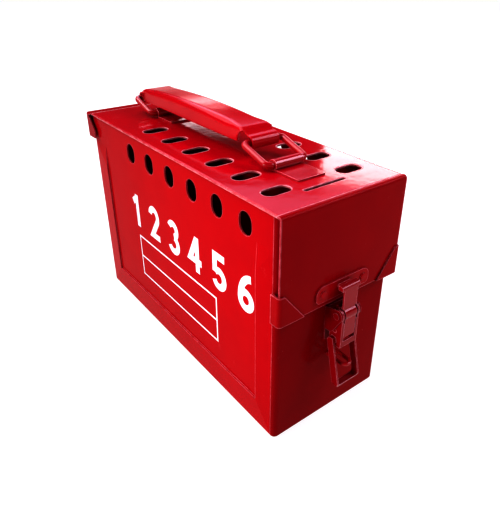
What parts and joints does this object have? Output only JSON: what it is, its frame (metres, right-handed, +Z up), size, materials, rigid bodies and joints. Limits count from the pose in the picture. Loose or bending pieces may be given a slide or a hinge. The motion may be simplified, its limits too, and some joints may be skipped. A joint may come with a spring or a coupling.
{
  "type": "group lockout box",
  "caption": "Red steel box with a carrying handle and a hinged lid with a latch; padlocks pass through slots in the lid and holes in the long sides.",
  "frame": {"origin": "middle of the bottom, on the surface that the box stands on", "axes": "+X towards the latch end, -X towards the hinge, -Y towards the front long side, +Z up; the lid is shut and the carrying handle lies back towards the hinge"},
  "size_m": [0.2497, 0.0944, 0.1727],
  "materials": {
    "red_sheet": "gloss powder coat on steel sheet",
    "red_hardware": "gloss paint over the welded and riveted fittings"
  },
  "bodies": {
    "box": {"side_front": "red_sheet", "side_back": "red_sheet", "end_latch": "red_sheet", "end_hinge": "red_sheet", "bottom_plate": "red_sheet", "hinge_leaf_box": "red_hardware", "hinge_pin": "red_hardware", "latch_base": "red_hardware", "latch_base_rivets": "red_hardware", "lever_pivots": "red_hardware", "seal_staple": "red_hardware"},
    "lid": {"lid_plate": "red_sheet", "lid_skirt": "red_sheet", "lid_cap": "red_sheet", "gusset_front": "red_sheet", "gusset_back": "red_sheet", "hinge_leaf_lid": "red_hardware", "latch_keeper": "red_hardware", "keeper_rivets": "red_hardware", "bracket_right": "red_hardware", "bracket_left": "red_hardware"},
    "lever": {"latch_lever": "red_hardware", "link_pin": "red_hardware"},
    "link": {"latch_link": "red_hardware"},
    "link_right": {"handle_link_right": "red_hardware"},
    "link_left": {"handle_link_left": "red_hardware"},
    "grip": {"handle_grip": "red_hardware"}
  },
  "joints": [
    {"name": "lid_hinge", "type": "hinge", "parent": "box", "child": "lid", "pos_m": [-0.117, 0, 0.131], "axis": [0, -1, 0], "range_deg": [0, 110]},
    {"name": "latch_lever", "type": "hinge", "parent": "box", "child": "lever", "pos_m": [0.1239, 0, 0.0818], "axis": [0, -1, 0], "range_deg": [-6, 74]},
    {"name": "latch_link", "type": "hinge", "parent": "lever", "child": "link", "pos_m": [0.122, 0, 0.07], "axis": [0, -1, 0], "range_deg": [-92.5, 7.5]},
    {"name": "handle_link_right", "type": "hinge", "parent": "lid", "child": "link_right", "pos_m": [0.0676, 0, 0.1553], "axis": [0, 1, 0], "range_deg": [-8, 154]},
    {"name": "handle_link_left", "type": "hinge", "parent": "lid", "child": "link_left", "pos_m": [-0.0718, 0, 0.1553], "axis": [0, 1, 0], "range_deg": [-8, 154]},
    {"name": "handle_grip_pivot", "type": "hinge", "parent": "link_right", "child": "grip", "pos_m": [0.04446, 0, 0.16237], "axis": [0, 1, 0], "range_deg": [-154, 8]}
  ],
  "couplings": [
    {"joint": "latch_link", "follows": "latch_lever", "ratio": -1.25},
    {"joint": "handle_link_left", "follows": "handle_link_right", "ratio": 1},
    {"joint": "handle_grip_pivot", "follows": "handle_link_right", "ratio": -1}
  ]
}
